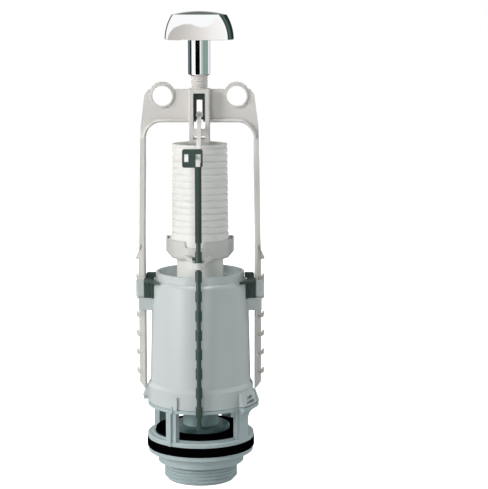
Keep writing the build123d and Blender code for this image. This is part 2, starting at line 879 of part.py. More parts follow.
with BuildPart() as pull_shaft:
    with BuildSketch(Plane.XY.offset(yoke_top)):
        Circle(shaft_radius)
    extrude(amount=core_top - yoke_top)
    with BuildSketch(Plane.XY.offset(yoke_top - slot_drop + 0.8)):
        Circle(tongue_radius)
    extrude(amount=slot_drop)
    with Locations(Location((0, 0, yoke_top - slot_drop / 2), (90, 0, 0))):
        Hole(pin_radius + press_gap)
pull_shaft.part.label = "pull_shaft"

with BuildPart() as slider_yoke:
    with BuildSketch(Plane.XZ):
        with Locations((0, yoke_z + yoke_height / 2)):
            Rectangle(yoke_width, yoke_height)
        with Locations((0, (yoke_z + yoke_top - slot_drop) / 2)):
            Rectangle(foot_gap, yoke_height - slot_drop, mode=Mode.SUBTRACT)
        with Locations((0, (yoke_z + foot_height + yoke_top - slot_drop) / 2)):
            Rectangle(slot_width, yoke_height - slot_drop - foot_height, mode=Mode.SUBTRACT)
    extrude(amount=yoke_depth / 2, both=True)
    fillet(slider_yoke.edges().filter_by(Axis.Y).group_by(Axis.Z)[-1], 1.0)
    with Locations((0, 0, yoke_top)):
        Hole(tongue_radius + press_gap, depth=slot_drop + 0.1)
    with Locations(Location((0, 0, yoke_top - slot_drop / 2), (90, 0, 0))):
        Hole(pin_radius + press_gap)
slider_yoke.part.label = "slider_yoke"

with BuildPart() as yoke_pin:
    with BuildSketch(Plane.XZ.offset(-yoke_depth / 2)):
        with Locations((0, yoke_top - slot_drop / 2)):
            Circle(pin_radius)
    extrude(amount=yoke_depth)
    with BuildSketch(Plane.XZ.offset(yoke_depth / 2)):
        with Locations((0, yoke_top - slot_drop / 2)):
            Circle(pin_head_radius)
    extrude(amount=0.7)
yoke_pin.part.label = "yoke_pin"

# Link: a headed boss in the yoke's slot and a flat bar down to the flag's window.
sill_z = flag_z + 3.6
window_height = 6.8
hook_z = sill_z + link_thickness / 2 + seat_gap
flag_front = rod_offset + flag_thickness / 2
with BuildPart() as lift_link:
    with BuildSketch(Plane.XZ.offset(-yoke_depth / 2)):
        with Locations((0, head_z)):
            Circle(head_radius)
    extrude(amount=yoke_depth + 1.4)
    with BuildSketch(Plane.XZ.offset(yoke_depth / 2 + 0.2)):
        with Locations((0, head_z)):
            Circle(head_radius + head_flange)
    extrude(amount=1.2)
    with BuildSketch(Plane.YZ):
        with BuildLine():
            Polyline(
                (-yoke_depth / 2 - 1.0, head_z),
                (-rod_offset + flag_thickness / 2 + 2.5, hook_z + 2.2),
                (-flag_front - 1.6, hook_z),
                (-flag_front - 2.0, hook_z - 4.0),
            )
        trace(line_width=link_thickness)
    extrude(amount=link_width / 2, both=True)
    with BuildSketch(Plane.XZ.offset(yoke_depth / 2 + 0.6)):
        with Locations((0, head_z)):
            Circle(head_pit)
    extrude(amount=5, mode=Mode.SUBTRACT)
lift_link.part.label = "lift_link"

with BuildPart() as control_rod:
    with BuildSketch(Plane.XZ.offset(rod_offset - flag_thickness / 2)):
        with Locations(((flag_right - flag_left) / 2, flag_z + flag_height / 2)):
            RectangleRounded(flag_left + flag_right, flag_height, 1.8)
        with Locations((-flag_left + 3.2, flag_z + 7.3)):
            Rectangle(3.2, 6.2, mode=Mode.SUBTRACT)
        with Locations((link_shift, sill_z + window_height / 2)):
            Rectangle(link_width + link_play, window_height, mode=Mode.SUBTRACT)
    extrude(amount=flag_thickness)
    with BuildSketch(Plane.XY.offset(rod_shoulder)):
        with Locations((0, -rod_offset)):
            Rectangle(rod_width, rod_web)
            Rectangle(rod_web, rod_width)
    extrude(amount=flag_z - rod_shoulder)
    with BuildSketch(Plane.XY.offset(rod_foot)):
        with Locations((0, -rod_offset)):
            Circle(notch_radius)
    extrude(amount=rod_shoulder - rod_foot + 1)
    for number in range(bead_count):
        with BuildSketch(Plane.XY.offset(bead_top - number * rack_pitch)):
            with Locations((0, -rod_offset)):
                Circle(bead_radius)
        extrude(amount=-bead_length)
    with BuildSketch(Plane.XY.offset(rod_foot)):
        with Locations((0, -rod_offset)):
            Circle(bead_radius)
    extrude(amount=2)
    # Small nub on the bead above the guide ring.
    with BuildSketch(Plane.XY.offset(ring_z + ring_height + nub_over_ring)):
        with Locations(((-bead_radius - nub_reach) / 2, -rod_offset)):
            Rectangle(bead_radius + nub_reach, nub_height)
    extrude(amount=nub_height)
control_rod.part.label = "control_rod"

with BuildPart() as overflow_tube:
    taper = tube_taper / (tube_top - tube_z)
    rib_count = int((tube_top - collar_top - 1) // rib_pitch)
    with BuildSketch(Plane.XZ):
        section(
            (tube_bore, tube_z),
            (tube_radius, tube_z),
            (tube_radius, collar_top + 1),
            (tube_top_radius, tube_top),
            (tube_bore, tube_top),
        )
        for number in range(rib_count):
            low = tube_top - 1.9 - number * rib_pitch
            outer = tube_top_radius + taper * (tube_top - low)
            with BuildLine():
                Polyline(
                    (outer + 1, low + 0.3),
                    (outer - rib_depth, low),
                    (outer - rib_depth, low - rib_groove + 0.4),
                    (outer + 1, low - rib_groove - 0.2),
                    close=True,
                )
            make_face(mode=Mode.SUBTRACT)
    revolve(axis=Axis.Z)
overflow_tube.part.label = "overflow_tube"

# Collar with a floor, a notch in front, wings, and the arms that carry the guide ring.
collar_inner = tube_radius + press_gap
collar_radius = collar_inner + collar_wall
with BuildPart() as tube_collar:
    with BuildSketch(Plane.XZ):
        section(
            (lower_tube_radius + press_gap, collar_z),
            (collar_radius - 1.0, collar_z),
            (collar_radius, collar_z + 2.0),
            (collar_radius, collar_top),
            (collar_inner, collar_top),
            (collar_inner, tube_z),
            (lower_tube_radius + press_gap, tube_z),
        )
    revolve(axis=Axis.Z)
    with BuildSketch(Plane.XZ.offset(collar_inner - 6)):
        section(
            (-notch_left, collar_top - notch_depth),
            (notch_right, collar_top - notch_depth),
            (notch_right + 1.6, collar_top + 1),
            (-notch_left - 1.0, collar_top + 1),
        )
    extrude(amount=10, mode=Mode.SUBTRACT)
    with BuildSketch(Plane.XZ):
        for side in (1, -1):
            section(
                (side * collar_inner, collar_top + wing_rise),
                (side * (collar_radius + wing_reach), collar_top + wing_rise),
                (side * (collar_radius + wing_reach), collar_z + 5.0),
                (side * (collar_radius - 0.4), collar_z + 1.2),
                (side * collar_inner, collar_z + 1.2),
            )
    extrude(amount=wing_width / 2, both=True)
    with BuildSketch(Plane.XY.offset(collar_top - 5)):
        with Locations((collar_radius + 0.9, 0), (-collar_radius - 0.9, 0)):
            Rectangle(2 * wing_reach - 4.0, wing_width - 2.4)
    extrude(amount=5 + wing_rise, mode=Mode.SUBTRACT)
    # The front wall of each wing is lower than its back wall.
    with BuildSketch(Plane.XY.offset(collar_top + 0.2)):
        with Locations((0, -wing_width / 2)):
            Rectangle(2 * (collar_radius + wing_reach + 1), wing_width - 2.4)
    extrude(amount=wing_rise, mode=Mode.SUBTRACT)
    with BuildSketch(Plane.XY.offset(tube_z)):
        Circle(collar_inner)
    extrude(amount=collar_height + wing_rise, mode=Mode.SUBTRACT)
    for side in (1, -1):
        with BuildSketch(Plane.XY.offset(collar_z + arm_lift)):
            with BuildLine():
                Polyline(
                    (side * 10, -math.sqrt(collar_inner**2 - 100) - 0.6),
                    (side * (ring_radius - arm_width / 2), -rod_offset + 1),
                )
            trace(line_width=arm_width)
            Circle(collar_inner, mode=Mode.SUBTRACT)
        extrude(amount=arm_height)
    with BuildSketch(Plane.XY.offset(ring_z)):
        with Locations((0, -rod_offset)):
            Circle(ring_radius)
    extrude(amount=ring_height)
    with Locations((0, -rod_offset, ring_z + ring_height + arm_height)):
        Hole(ring_bore, depth=ring_height + arm_height + 1)
tube_collar.part.label = "tube_collar"

with BuildPart() as lower_tube:
    with BuildSketch(Plane.XZ):
        section(
            (valve_tube_radius + press_gap, lower_tube_z),
            (lower_tube_radius, lower_tube_z),
            (lower_tube_radius, lower_tube_top),
            (lower_tube_radius - lower_tube_wall, lower_tube_top),
            (lower_tube_radius - lower_tube_wall, lower_tube_z + 6),
            (valve_tube_radius + press_gap, lower_tube_z + 4),
        )
    revolve(axis=Axis.Z)
lower_tube.part.label = "lower_tube"

with BuildPart() as tube_seal:
    with BuildSketch(Plane.XY.offset(tube_z + 5)):
        Circle(tube_bore - press_gap)
        Circle(lower_tube_radius + press_gap, mode=Mode.SUBTRACT)
    extrude(amount=2.2)
tube_seal.part.label = "tube_seal"

with BuildPart() as valve_tube:
    with BuildSketch(Plane.XY.offset(retainer_z)):
        Circle(valve_tube_radius)
        Circle(valve_tube_radius - valve_tube_wall, mode=Mode.SUBTRACT)
    extrude(amount=lower_tube_z + 4 - retainer_z)
valve_tube.part.label = "valve_tube"

float_top = lower_tube_z - 0.2
with BuildPart() as float_cup:
    with BuildSketch(Plane.XZ):
        section(
            (valve_tube_radius + press_gap, float_top - float_height + 6),
            (valve_tube_radius + press_gap + float_wall, float_top - float_height + 6),
            (valve_tube_radius + press_gap + float_wall, float_top - float_wall),
            (float_radius - float_wall, float_top - float_wall),
            (float_radius - float_wall, float_top - float_height),
            (float_radius, float_top - float_height),
            (float_radius, float_top - 2),
            (float_radius - 2, float_top),
            (valve_tube_radius + press_gap, float_top),
        )
    revolve(axis=Axis.Z)
float_cup.part.label = "float_cup"

with BuildPart() as seal_disc:
    with BuildSketch(Plane.XZ):
        section(
            (valve_tube_radius + press_gap, seal_z),
            (seal_radius, seal_z),
            (seal_radius, carrier_z + seal_lip_height),
            (seal_radius - seal_lip_width, carrier_z + seal_lip_height),
            (seal_radius - seal_lip_width - 0.6, carrier_z),
            (valve_tube_radius + press_gap, carrier_z),
        )
    revolve(axis=Axis.Z)
seal_disc.part.label = "seal_disc"

with BuildPart() as seal_carrier:
    with BuildSketch(Plane.XZ):
        section(
            (valve_tube_radius + press_gap, carrier_z),
            (carrier_radius, carrier_z),
            (carrier_radius, carrier_z + carrier_height - 1.2),
            (carrier_radius - 1.2, carrier_z + carrier_height),
            (valve_tube_radius + press_gap, carrier_z + carrier_height),
        )
    revolve(axis=Axis.Z)
seal_carrier.part.label = "seal_carrier"

with BuildPart() as seal_retainer:
    with BuildSketch(Plane.XY.offset(retainer_z)):
        Circle(seat_inner - 1.2)
        Circle(valve_tube_radius + press_gap, mode=Mode.SUBTRACT)
    extrude(amount=retainer_height)
    fin_outer = guide_radius - slide_gap
    fin_inner = valve_tube_radius + 0.2
    with BuildSketch(Plane.XY.offset(retainer_z)):
        with PolarLocations((fin_outer + fin_inner) / 2, 4, start_angle=45):
            Rectangle(fin_outer - fin_inner, retainer_fin_width)
    extrude(amount=-retainer_fin_height)
seal_retainer.part.label = "seal_retainer"

# Wedge clips: a body between bell and leg, a curved thumb leaf, and a plate above it.
clip_z = sleeve_z + slide_gap
clip_top = lug_top + clip_over_lug
clip_inner = body_top_radius + body_taper * (body_top - clip_z) / body_height + slide_gap
clip_face = math.sqrt(clip_inner**2 - lug_front**2)
clip_side = leg_inner - slide_gap
clip_outer = jaw_inner - slide_gap
plate_inner = rim_radius + slide_gap
plate_foot = neck_z + slide_gap
clip_plate_top = clip_top + clip_plate_rise
with BuildPart() as right_lock_clip:
    with BuildSketch(Plane.XY.offset(clip_z)):
        section(
            (lug_inner, leg_back),
            (clip_side, leg_back),
            (clip_side, -leg_front - slide_gap),
            (clip_outer, -leg_front - slide_gap),
            (clip_outer, -lug_front),
            (lug_inner, -lug_front),
        )
        ring_sector(clip_inner - 0.5, clip_inner + clip_flange, -19, 8)
        Circle(clip_inner, mode=Mode.SUBTRACT)
    extrude(amount=clip_top - clip_z)
    with BuildSketch(Plane.XY.offset(clip_top - leaf_thickness)):
        with BuildLine():
            leaf_arc = CenterArc((0, 0), clip_inner, -leaf_angle, leaf_angle)
            Polyline(
                leaf_arc @ 1,
                (clip_side, 0),
                (clip_side, -leg_front - slide_gap),
                (clip_outer, -leg_front - slide_gap),
                (clip_outer, -lug_front - 2),
            )
            ThreePointArc((clip_outer, -lug_front - 2), (clip_outer - 3.6, -lug_front - 7.2), leaf_arc @ 0)
        make_face()
    extrude(amount=leaf_thickness)
    with BuildSketch(Plane.XZ.offset(-1)) as upright:
        with Locations(((plate_inner + clip_side) / 2, (plate_foot + clip_plate_top) / 2)):
            Rectangle(clip_side - plate_inner, clip_plate_top - plate_foot)
        fillet(upright.vertices().group_by(Axis.Y)[-1].sort_by(Axis.X)[-1], clip_plate_round)
    extrude(upright.sketch, amount=plate_thickness / 2, both=True)
    # Two small round marks on the front.
    with BuildSketch(Plane.XZ.offset(lug_front)):
        with Locations(
            ((clip_face + clip_outer) / 2, clip_z + 0.16 * (clip_top - clip_z)),
            ((clip_face + clip_outer) / 2, clip_z + 0.64 * (clip_top - clip_z)),
        ):
            Circle(dimple_radius)
    extrude(amount=0.4)
right_lock_clip.part.label = "right_lock_clip"

with BuildPart() as left_lock_clip:
    mirror(right_lock_clip.part, about=Plane.YZ)
left_lock_clip.part.label = "left_lock_clip"

os.makedirs("parts", exist_ok=True)
for piece in (
    seat_base,
    base_seal,
    bell_housing,
    deck_bush,
    frame,
    threaded_stem,
    clamp_sleeve,
    pull_knob,
    knob_core,
    pull_shaft,
    slider_yoke,
    yoke_pin,
    lift_link,
    control_rod,
    overflow_tube,
    tube_collar,
    lower_tube,
    tube_seal,
    valve_tube,
    float_cup,
    seal_disc,
    seal_carrier,
    seal_retainer,
    right_lock_clip,
    left_lock_clip,
):
    export_step(piece.part, f"parts/{piece.part.label}.step")
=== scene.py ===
import json
import math

import bmesh
import bpy
import numpy as np
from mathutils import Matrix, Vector


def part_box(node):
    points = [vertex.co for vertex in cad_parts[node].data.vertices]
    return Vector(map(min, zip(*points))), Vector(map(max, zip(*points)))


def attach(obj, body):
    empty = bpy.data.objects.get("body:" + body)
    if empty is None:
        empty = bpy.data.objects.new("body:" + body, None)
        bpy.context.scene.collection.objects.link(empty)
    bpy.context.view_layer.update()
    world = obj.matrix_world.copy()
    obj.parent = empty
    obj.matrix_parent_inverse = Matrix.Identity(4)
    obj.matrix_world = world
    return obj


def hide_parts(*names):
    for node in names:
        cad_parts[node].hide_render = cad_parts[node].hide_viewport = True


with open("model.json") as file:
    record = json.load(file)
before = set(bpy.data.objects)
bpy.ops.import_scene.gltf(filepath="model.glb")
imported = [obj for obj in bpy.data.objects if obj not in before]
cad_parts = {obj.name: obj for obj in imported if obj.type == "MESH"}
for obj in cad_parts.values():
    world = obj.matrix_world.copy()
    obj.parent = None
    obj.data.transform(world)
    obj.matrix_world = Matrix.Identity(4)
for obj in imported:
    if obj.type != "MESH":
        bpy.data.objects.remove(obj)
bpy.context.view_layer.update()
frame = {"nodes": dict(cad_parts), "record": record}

cadNodes = frame["nodes"]
scene = bpy.context.scene
scene.view_settings.view_transform = "Standard"
print("frame loaded:", len(cadNodes), "nodes")

# Camera: a long lens a little above the valve's middle, looking slightly down
view = {
    "place": (0.0355, -1.2614, 0.3866),
    "pitch": 8.7,  # degrees below the horizon
    "focalPixels": 1578.0,
    "longSide": 489,  # pixels of the picture's longer side
    "sensorWidth": 36.0,  # millimetres
    "farLimit": 30.0,
}
cameraData = bpy.data.cameras.new("pictureCamera")
cameraData.sensor_width = view["sensorWidth"]
cameraData.lens = view["focalPixels"] * view["sensorWidth"] / view["longSide"]
cameraData.clip_end = view["farLimit"]
camera = bpy.data.objects.new("pictureCamera", cameraData)
camera.location = view["place"]
camera.rotation_euler = (math.radians(90.0 - view["pitch"]), 0.0, 0.0)
scene.collection.objects.link(camera)
scene.camera = camera
print("camera set")


def newNodes(tree, kinds):
    # Nodes by name in an emptied tree, from a table of name and node type
    tree.nodes.clear()
    return {name: tree.nodes.new(kind) for name, kind in kinds.items()}


def setInputs(node, values):
    # Constant values on a node's sockets, by each socket's name
    for socket, value in values.items():
        node.inputs[socket].default_value = value


def joinNodes(tree, made, joins):
    # Links from a node's output to a node's input, each socket by its name or number
    for source, output, target, socket in joins:
        tree.links.new(made[source].outputs[output], made[target].inputs[socket])


def aroundValve(azimuth, height, distance, middle):
    # Points on a ball about the upright axis, its centre at the middle's height: azimuth in degrees
    # from the front towards the right, height in degrees above the horizon
    turn, rise = np.broadcast_arrays(np.radians(azimuth), np.radians(height))
    return np.stack([
        distance * np.cos(rise) * np.sin(turn),
        -distance * np.cos(rise) * np.cos(turn),
        middle + distance * np.sin(rise),
    ], axis=-1)


# Studio: a white room, a strong soft box at the left front and weaker ones round the valve
studio = {
    "roomLight": 0.05,
    "roomColor": (0.95, 0.985, 1.0),
    "middle": 0.2,  # height of the point that the boxes look at, halfway up the valve
    "boxDistance": 2.4,
    "boxes": {  # azimuth and height in degrees, size in metres, power in watts, colour
        "leftBox": (-55.0, 20.0, 0.9, 37.0, (1.0, 0.97, 0.95)),
        "backLeftBox": (-115.0, 25.0, 1.2, 30.0, (1.0, 1.0, 0.97)),
        "rightBox": (88.0, 15.0, 1.0, 12.0, (0.94, 1.0, 0.99)),
        "backRightBox": (120.0, 28.0, 1.2, 20.0, (0.96, 1.0, 0.98)),
        "frontBox": (-12.0, 12.0, 0.8, 10.0, (0.95, 1.0, 1.0)),
        "highBox": (-10.0, 52.0, 0.9, 7.0, (0.97, 1.0, 0.98)),
    },
}

world = bpy.data.worlds.new("whiteRoom")
scene.world = world
world.use_nodes = True
made = newNodes(world.node_tree, {
    "path": "ShaderNodeLightPath",
    "seen": "ShaderNodeMath",
    "seenAll": "ShaderNodeMath",
    "room": "ShaderNodeBackground",
    "white": "ShaderNodeBackground",
    "mix": "ShaderNodeMixShader",
    "out": "ShaderNodeOutputWorld",
})
made["seen"].operation = "MAXIMUM"
made["seenAll"].operation = "MAXIMUM"
setInputs(made["room"], {"Color": (*studio["roomColor"], 1.0), "Strength": studio["roomLight"]})
setInputs(made["white"], {"Color": (1.0, 1.0, 1.0, 1.0), "Strength": 1.0})
joinNodes(world.node_tree, made, (
    ("path", "Is Camera Ray", "seen", 0),
    ("path", "Is Glossy Ray", "seen", 1),
    ("seen", 0, "seenAll", 0),
    ("path", "Is Transmission Ray", "seenAll", 1),
    ("seenAll", 0, "mix", "Fac"),
    ("room", 0, "mix", 1),
    ("white", 0, "mix", 2),
    ("mix", 0, "out", "Surface"),
))

for name, (azimuth, height, size, power, color) in studio["boxes"].items():
    lampData = bpy.data.lights.new(name, "AREA")
    lampData.shape = "SQUARE"
    lampData.size = size
    lampData.energy = power
    lampData.color = color
    lamp = bpy.data.objects.new(name, lampData)
    lamp.visible_glossy = False  # the chrome mirrors the sheets below and the room alone
    lamp.location = aroundValve(azimuth, height, studio["boxDistance"], studio["middle"])
    towardsValve = Vector((0.0, 0.0, studio["middle"])) - lamp.location
    lamp.rotation_euler = towardsValve.to_track_quat("-Z", "Y").to_euler()
    scene.collection.objects.link(lamp)

# Floor: matt, with a glow for the camera that makes it white and keeps the shadow,
# and with a separate brightness for glossy rays, so that chrome shows its shape
floorLook = {
    "halfSide": 14.0,
    "color": (0.84, 0.85, 0.86),
    "glow": (0.88, 1.0),  # near and far
    "glowReach": (0.3, 1.6),  # metres from the axis
    "mirrored": (0.16, 1.0),
    "mirroredReach": (0.4, 4.0),
}
floorMesh = bpy.data.meshes.new("studioFloor")
corners = [
    (x * floorLook["halfSide"], y * floorLook["halfSide"], 0.0)
    for x, y in ((-1, -1), (1, -1), (1, 1), (-1, 1))
]
floorMesh.from_pydata(corners, [], [(0, 1, 2, 3)])
floor = bpy.data.objects.new("studioFloor", floorMesh)
scene.collection.objects.link(floor)
floorPaint = bpy.data.materials.new("floorPaint")
floorPaint.use_nodes = True
made = newNodes(floorPaint.node_tree, {
    "path": "ShaderNodeLightPath",
    "place": "ShaderNodeTexCoord",
    "away": "ShaderNodeVectorMath",
    "nearSeen": "ShaderNodeMapRange",
    "nearMirrored": "ShaderNodeMapRange",
    "level": "ShaderNodeMath",
    "matt": "ShaderNodeBsdfDiffuse",
    "glow": "ShaderNodeEmission",
    "add": "ShaderNodeAddShader",
    "mirrored": "ShaderNodeEmission",
    "mix": "ShaderNodeMixShader",
    "out": "ShaderNodeOutputMaterial",
})
made["away"].operation = "LENGTH"
made["level"].operation = "MULTIPLY"
setInputs(made["matt"], {"Color": (*floorLook["color"], 1.0)})
for ramp, reach, levels in (
    ("nearSeen", "glowReach", "glow"),
    ("nearMirrored", "mirroredReach", "mirrored"),
):
    setInputs(made[ramp], {
        "From Min": floorLook[reach][0],
        "From Max": floorLook[reach][1],
        "To Min": floorLook[levels][0],
        "To Max": floorLook[levels][1],
    })
joinNodes(floorPaint.node_tree, made, (
    ("place", "Object", "away", 0),
    ("away", "Value", "nearSeen", "Value"),
    ("away", "Value", "nearMirrored", "Value"),
    ("path", "Is Camera Ray", "level", 0),
    ("nearSeen", "Result", "level", 1),
    ("level", 0, "glow", "Strength"),
    ("matt", 0, "add", 0),
    ("glow", 0, "add", 1),
    ("nearMirrored", "Result", "mirrored", "Strength"),
    ("path", "Is Glossy Ray", "mix", "Fac"),
    ("add", 0, "mix", 1),
    ("mirrored", 0, "mix", 2),
    ("mix", 0, "out", "Surface"),
))
floorMesh.materials.append(floorPaint)
print("room, lamps and floor ready")


def linear(color):
    # Display colour from 0 to 255 as the linear colour that a shader takes: the screen curve's
    # straight part below 0.04045 and its power of 2.4 above
    share = np.asarray(color, float) / 255.0
    low = share / 12.92
    high = ((share + 0.055) / 1.055) ** 2.4
    return np.where(share <= 0.04045, low, high)


def meshFromGrid(name, points, aroundClosed, alongClosed):
    # Quads over a grid of points (along, around, 3), each from a point, its neighbour around,
    # and the same two one row on; the last column or row joins the first where it is closed
    rows, columns = points.shape[:2]
    number = np.arange(rows * columns).reshape(rows, columns)
    if aroundClosed:
        number = np.concatenate([number, number[:, :1]], axis=1)
    if alongClosed:
        number = np.concatenate([number, number[:1]], axis=0)
    quads = np.stack([number[:-1, :-1], number[:-1, 1:], number[1:, 1:], number[1:, :-1]], axis=-1)
    mesh = bpy.data.meshes.new(name)
    mesh.from_pydata(points.reshape(-1, 3).tolist(), [], quads.reshape(-1, 4).tolist())
    mesh.polygons.foreach_set("use_smooth", np.ones(len(mesh.polygons), bool))
    mesh.update()
    thing = bpy.data.objects.new(name, mesh)
    scene.collection.objects.link(thing)
    return thing


def mirroredOnly(name, points, colors, strength=1.0):
    # Glowing sheet that glossy rays alone meet, with a display colour at each point of its grid
    sheet = meshFromGrid(name, points, False, False)
    shade = sheet.data.color_attributes.new("shade", "FLOAT_COLOR", "POINT")
    opaque = np.ones((*points.shape[:2], 1))
    shade.data.foreach_set("color", np.concatenate([linear(colors), opaque], axis=-1).ravel())
    for ray in ("camera", "diffuse", "transmission", "shadow"):
        setattr(sheet, "visible_" + ray, False)
    paint = bpy.data.materials.new(name)
    paint.use_nodes = True
    made = newNodes(paint.node_tree, {
        "shade": "ShaderNodeAttribute",
        "glow": "ShaderNodeEmission",
        "out": "ShaderNodeOutputMaterial",
    })
    made["shade"].attribute_name = "shade"
    setInputs(made["glow"], {"Strength": strength})
    joinNodes(paint.node_tree, made, (
        ("shade", "Color", "glow", "Color"),
        ("glow", 0, "out", "Surface"),
    ))
    sheet.data.materials.append(paint)


def uprightWall(azimuths, heights, distance, steps):
    # Grid on a cylinder about the axis, from one azimuth to the other, at a low and a high level
    azimuth, level = np.meshgrid(np.linspace(*azimuths, steps), heights)
    turn = np.radians(azimuth)
    return np.stack([distance * np.sin(turn), -distance * np.cos(turn), level], axis=-1)


# Upright cards low round the valve, which the sleeve nut mirrors as stripes: azimuths and colour
cards = {
    "darkFrontCard": ((-35.5, -17.0), (5, 6, 7)),
    "darkBackLeftCard": ((-119.5, -104.0), (5, 6, 7)),
    "greyLeftCard": ((-142.0, -119.5), (100, 112, 114)),
    "paleRightCard": ((44.0, 50.5), (190, 205, 200)),
    "greenRightCard": ((50.5, 67.0), (138, 158, 150)),
    "darkRightCard": ((67.0, 78.0), (38, 52, 50)),
    "paleBackCard": ((130.0, 165.0), (226, 223, 229)),
}
cardDistance = 1.5
cardTop = 0.333
cardSteps = 13
for name, (azimuths, color) in cards.items():
    cardPlace = uprightWall(azimuths, (0.0, cardTop), cardDistance, cardSteps)
    mirroredOnly(name, cardPlace, np.broadcast_to(np.array(color, float), cardPlace.shape))

# Bright low strip at the left front, whose soft reflection the walls, the rod and the clips carry
strip = {
    "azimuths": (-62.0, -34.0),
    "heights": (0.01, 0.3),
    "distance": 0.6,
    "steps": 9,
    "strength": 5.0,
}
stripPlace = uprightWall(strip["azimuths"], strip["heights"], strip["distance"], strip["steps"])
mirroredOnly("brightStrip", stripPlace, np.full(stripPlace.shape, 255.0), strip["strength"])

# The room that the knob mirrors, from the cards' top upwards: a warm floor-like shape below,
# a dark right-hand side and a grey back. Angles in degrees, heights above the room's middle.
knobRoom = {
    "middle": 0.37,  # metres above the origin
    "azimuths": (-146.0, 215.0, 1.5),  # first, limit and step
    "heights": (-1.41, 62.0, 1.0),
    "warmColors": (
        (192, 188, 182), (201, 196, 190), (229, 225, 220), (246, 243, 239), (252, 250, 248),
    ),
    "warmAzimuths": (-120.0, -68.0, 4.0, 45.0, 80.0),
    "edgeAzimuths": (-126.0, -100.0, -60.0, -32.0, 8.0, 30.0, 58.0, 76.0, 104.0),
    "edgeHeights": (1.0, 17.0, 32.5, 36.5, 30.0, 30.0, 36.5, 43.5, 36.0),  # the warm shape's top
    "warmEnd": 98.0,
    "darkColors": ((40, 54, 51), (88, 102, 98), (30, 42, 40)),
    "darkAzimuths": (110.0, 126.0, 142.0),
    "darkTop": 40.0,
    "backColors": ((226, 228, 226), (186, 189, 186), (104, 110, 107)),
    "backHeights": (3.0, 10.0, 18.0),
    "backStart": 166.0,
    "backTop": 42.0,
    "leftColors": ((70, 76, 74), (152, 154, 151)),
    "leftHeights": (2.0, 18.0),
    "leftStart": 194.0,
    "softness": {  # how wide each edge's change of colour is
        "warmTop": 4.0,
        "warmStart": 4.0,
        "warmEnd": 8.0,
        "darkTop": 6.0,
        "darkStart": 3.0,
        "backTop": 5.0,
        "backStart": 6.0,
        "leftStart": 8.0,
    },
}


def softStep(value, edge, width):
    # 0 below the edge and 1 above it, with the smooth cubic 3s^2 - 2s^3 across the width
    share = np.clip((value - edge) / width + 0.5, 0.0, 1.0)
    return share * share * (3.0 - 2.0 * share)


def colorRamp(place, places, colors):
    # Colour at each place, interpolated in a straight line between the colours at given places
    channels = np.transpose(colors)
    return np.stack([np.interp(place, places, channel) for channel in channels], axis=-1)


def roomColors(room, azimuth, height):
    # White, over which the warm shape, the dark side, the back and the back's left end are laid
    # in turn. Each is as strong as the product of its soft edges.
    soft = room["softness"]
    warmTop = np.interp(azimuth, room["edgeAzimuths"], room["edgeHeights"])
    isWarm = softStep(warmTop, height, soft["warmTop"])
    isWarm *= softStep(azimuth, room["edgeAzimuths"][0], soft["warmStart"])
    isWarm *= 1.0 - softStep(azimuth, room["warmEnd"], soft["warmEnd"])
    isDark = softStep(room["darkTop"], height, soft["darkTop"])
    isDark *= softStep(azimuth, room["darkAzimuths"][0], soft["darkStart"])
    isBack = softStep(room["backTop"], height, soft["backTop"])
    isBack *= softStep(azimuth, room["backStart"], soft["backStart"])
    isLeft = isBack * softStep(azimuth, room["leftStart"], soft["leftStart"])
    color = np.full((*azimuth.shape, 3), 255.0)
    for share, paint in (
        (isWarm, colorRamp(azimuth, room["warmAzimuths"], room["warmColors"])),
        (isDark, colorRamp(azimuth, room["darkAzimuths"], room["darkColors"])),
        (isBack, colorRamp(height, room["backHeights"], room["backColors"])),
        (isLeft, colorRamp(height, room["leftHeights"], room["leftColors"])),
    ):
        color += (paint - color) * share[..., None]
    return color


azimuth, height = np.meshgrid(np.arange(*knobRoom["azimuths"]), np.arange(*knobRoom["heights"]))
shell = aroundValve(azimuth, height, cardDistance, knobRoom["middle"])
mirroredOnly("knobRoom", shell, roomColors(knobRoom, azimuth, height))

# Bright ceiling, which only surfaces that lean back mirror: shoulders, cones and flange tops
ceiling = {
    "edge": 68.0,  # degrees above the horizon, from the lamps' middle
    "height": 1.45,  # metres above that middle
    "aroundStep": 12.0,
    "rows": 8,
    "strength": 11.0,
}
azimuth, height = np.meshgrid(
    np.arange(0.0, 361.0, ceiling["aroundStep"]), np.linspace(ceiling["edge"], 90.0, ceiling["rows"])
)
slantDistance = ceiling["height"] / np.sin(np.radians(height))
canopy = aroundValve(azimuth, height, slantDistance, studio["middle"])
mirroredOnly("ceiling", canopy, np.full(canopy.shape, 255.0), ceiling["strength"])
print("mirrored surroundings ready")


# Knob: a turned shell with a bulged side, a sharp edge and a low dome
knobShape = {
    "radius": 0.02755,
    "draw": 0.00565,  # how far the side draws in towards its top
    "sideHeight": 0.0197,
    "dome": 0.0028,
    "wall": 0.0013,
    "roof": 2.2,  # how far the hollow's side ends from the outer side's upper edge, in walls
    "footWidth": 0.6,  # of the flat ring under the wall, in walls
    "footRound": 0.00015,
    "footBevel": 0.00004,
    "lowRows": (0.00015, 0.0002, 0.0006),  # close rows above the foot, which keep its normals true
    "domeStart": 0.985,  # of the dome's radius, a close row that keeps its normals true
    "rows": {"side": 25, "dome": 26, "hollow": 12},
    "columns": 160,
    "drop": 0.0009,  # the shell stands this much lower than its solid, as in the picture
}
pointGap = 1e-6  # metres; points nearer than this are one, and heights nearer than this are the same


